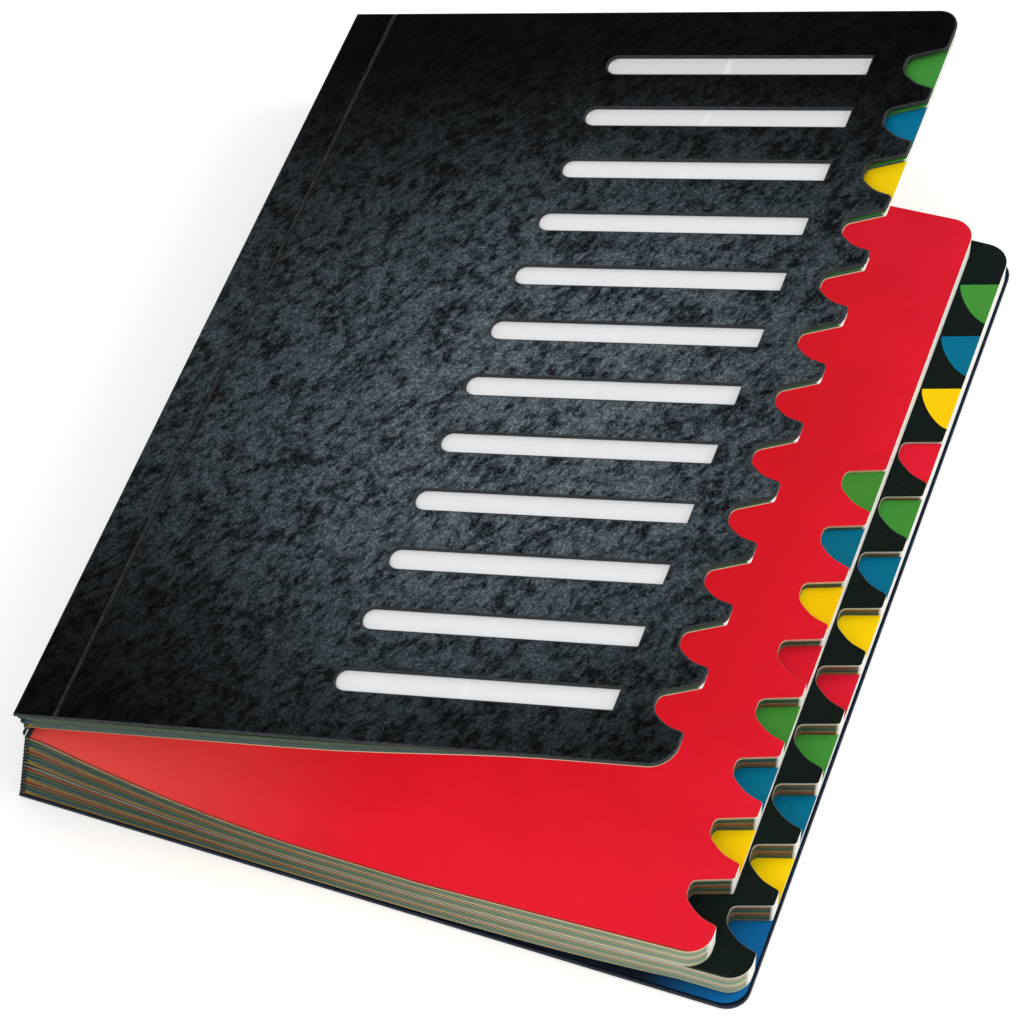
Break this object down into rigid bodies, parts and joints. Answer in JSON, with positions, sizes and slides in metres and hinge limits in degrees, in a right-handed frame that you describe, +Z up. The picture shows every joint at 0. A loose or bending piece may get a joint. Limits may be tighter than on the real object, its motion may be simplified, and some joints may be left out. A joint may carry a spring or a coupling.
{
  "type": "file sorter",
  "caption": "Desk file sorter with pressboard covers, label windows and notched coloured divider leaves that fan open from a pleated cloth spine.",
  "frame": {"origin": "middle of the underside of the sorter's box, on the desk", "axes": "+X from the spine to the fore-edge, +Y from the foot of the leaves to their head, +Z up"},
  "size_m": [0.245, 0.32, 0.1243],
  "materials": {
    "black_pressboard": "mottled satin pressboard",
    "navy_pressboard": "satin pressboard",
    "black_cloth": "woven binding cloth",
    "blue_paper": "matte paper",
    "grey_paper": "matte paper",
    "clear_film": "clear film",
    "white_card": "smooth card",
    "black_card": "printed card",
    "green_card": "dyed card",
    "blue_card": "dyed card",
    "yellow_card": "dyed card",
    "red_card": "dyed card"
  },
  "bodies": {
    "base": {"back_cover": "navy_pressboard", "back_lining": "blue_paper"},
    "leaf_01": {"divider_leaf_01": "yellow_card", "spine_pleat_01": "black_cloth"},
    "leaf_02": {"divider_leaf_02": "blue_card", "spine_pleat_02": "black_cloth"},
    "leaf_03": {"divider_leaf_03": "green_card", "spine_pleat_03": "black_cloth"},
    "leaf_04": {"divider_leaf_04": "red_card", "spine_pleat_04": "black_cloth"},
    "leaf_05": {"divider_leaf_05": "yellow_card", "spine_pleat_05": "black_cloth"},
    "leaf_06": {"divider_leaf_06": "blue_card", "spine_pleat_06": "black_cloth"},
    "leaf_07": {"divider_leaf_07": "green_card", "spine_pleat_07": "black_cloth"},
    "leaf_08": {"divider_leaf_08": "red_card", "spine_pleat_08": "black_cloth"},
    "leaf_09": {"divider_leaf_09": "black_card", "spine_pleat_09": "black_cloth"},
    "leaf_10": {"divider_leaf_10": "yellow_card", "spine_pleat_10": "black_cloth"},
    "leaf_11": {"divider_leaf_11": "blue_card", "spine_pleat_11": "black_cloth"},
    "leaf_12": {"divider_leaf_12": "green_card", "spine_pleat_12": "black_cloth"},
    "leaf_13": {"divider_leaf_13": "red_card", "spine_pleat_13": "black_cloth"},
    "leaf_14": {"divider_leaf_14": "yellow_card", "spine_pleat_14": "black_cloth"},
    "leaf_15": {"divider_leaf_15": "blue_card", "spine_pleat_15": "black_cloth"},
    "leaf_16": {"divider_leaf_16": "green_card", "spine_pleat_16": "black_cloth"},
    "leaf_17": {"divider_leaf_17": "red_card", "spine_pleat_17": "black_cloth"},
    "leaf_18": {"divider_leaf_18": "yellow_card", "spine_pleat_18": "black_cloth"},
    "leaf_19": {"divider_leaf_19": "blue_card", "spine_pleat_19": "black_cloth"},
    "leaf_20": {"divider_leaf_20": "green_card", "spine_pleat_20": "black_cloth", "front_cover_strip": "black_pressboard"},
    "front_cover": {"front_cover": "black_pressboard", "window_film": "clear_film", "label_card": "white_card", "label_pocket_back": "grey_paper"}
  },
  "joints": [
    {"name": "turn_leaf_01", "type": "hinge", "parent": "base", "child": "leaf_01", "pos_m": [-0.12256, 0, 0.00133], "axis": [0, -1, 0], "range_deg": [0, 5]},
    {"name": "turn_leaf_02", "type": "hinge", "parent": "leaf_01", "child": "leaf_02", "pos_m": [-0.12241, 0, 0.00302], "axis": [0, -1, 0], "range_deg": [0, 5]},
    {"name": "turn_leaf_03", "type": "hinge", "parent": "leaf_02", "child": "leaf_03", "pos_m": [-0.12226, 0, 0.00473], "axis": [0, -1, 0], "range_deg": [0, 5]},
    {"name": "turn_leaf_04", "type": "hinge", "parent": "leaf_03", "child": "leaf_04", "pos_m": [-0.12211, 0, 0.00643], "axis": [0, -1, 0], "range_deg": [0, 5]},
    {"name": "turn_leaf_05", "type": "hinge", "parent": "leaf_04", "child": "leaf_05", "pos_m": [-0.12195, 0, 0.00813], "axis": [0, -1, 0], "range_deg": [0, 5]},
    {"name": "turn_leaf_06", "type": "hinge", "parent": "leaf_05", "child": "leaf_06", "pos_m": [-0.1218, 0, 0.00983], "axis": [0, -1, 0], "range_deg": [0, 5]},
    {"name": "turn_leaf_07", "type": "hinge", "parent": "leaf_06", "child": "leaf_07", "pos_m": [-0.12165, 0, 0.01153], "axis": [0, -1, 0], "range_deg": [0, 5]},
    {"name": "turn_leaf_08", "type": "hinge", "parent": "leaf_07", "child": "leaf_08", "pos_m": [-0.12149, 0, 0.01323], "axis": [0, -1, 0], "range_deg": [0, 5]},
    {"name": "turn_leaf_09", "type": "hinge", "parent": "leaf_08", "child": "leaf_09", "pos_m": [-0.12134, 0, 0.01493], "axis": [0, -1, 0], "range_deg": [0, 5]},
    {"name": "turn_leaf_10", "type": "hinge", "parent": "leaf_09", "child": "leaf_10", "pos_m": [-0.12119, 0, 0.01663], "axis": [0, -1, 0], "range_deg": [0, 5]},
    {"name": "turn_leaf_11", "type": "hinge", "parent": "leaf_10", "child": "leaf_11", "pos_m": [-0.12104, 0, 0.01833], "axis": [0, -1, 0], "range_deg": [0, 5]},
    {"name": "turn_leaf_12", "type": "hinge", "parent": "leaf_11", "child": "leaf_12", "pos_m": [-0.12088, 0, 0.02003], "axis": [0, -1, 0], "range_deg": [0, 5]},
    {"name": "turn_leaf_13", "type": "hinge", "parent": "leaf_12", "child": "leaf_13", "pos_m": [-0.12073, 0, 0.02173], "axis": [0, -1, 0], "range_deg": [0, 5]},
    {"name": "turn_leaf_14", "type": "hinge", "parent": "leaf_13", "child": "leaf_14", "pos_m": [-0.12058, 0, 0.02343], "axis": [0, -1, 0], "range_deg": [0, 5]},
    {"name": "turn_leaf_15", "type": "hinge", "parent": "leaf_14", "child": "leaf_15", "pos_m": [-0.12042, 0, 0.02513], "axis": [0, -1, 0], "range_deg": [0, 5]},
    {"name": "turn_leaf_16", "type": "hinge", "parent": "leaf_15", "child": "leaf_16", "pos_m": [-0.12027, 0, 0.02683], "axis": [0, -1, 0], "range_deg": [0, 5]},
    {"name": "turn_leaf_17", "type": "hinge", "parent": "leaf_16", "child": "leaf_17", "pos_m": [-0.12012, 0, 0.02852], "axis": [0, -1, 0], "range_deg": [0, 5]},
    {"name": "turn_leaf_18", "type": "hinge", "parent": "leaf_17", "child": "leaf_18", "pos_m": [-0.12012, 0, 0.03022], "axis": [0, -1, 0], "range_deg": [-24.4, 5]},
    {"name": "turn_leaf_19", "type": "hinge", "parent": "leaf_18", "child": "leaf_19", "pos_m": [-0.12017, 0, 0.03718], "axis": [0, -1, 0], "range_deg": [0, 5]},
    {"name": "turn_leaf_20", "type": "hinge", "parent": "leaf_19", "child": "leaf_20", "pos_m": [-0.12108, 0, 0.03961], "axis": [0, -1, 0], "range_deg": [0, 5]},
    {"name": "turn_front_cover", "type": "hinge", "parent": "leaf_20", "child": "front_cover", "pos_m": [-0.10777, 0, 0.04881], "axis": [0, -1, 0], "range_deg": [0, 150]}
  ]
}
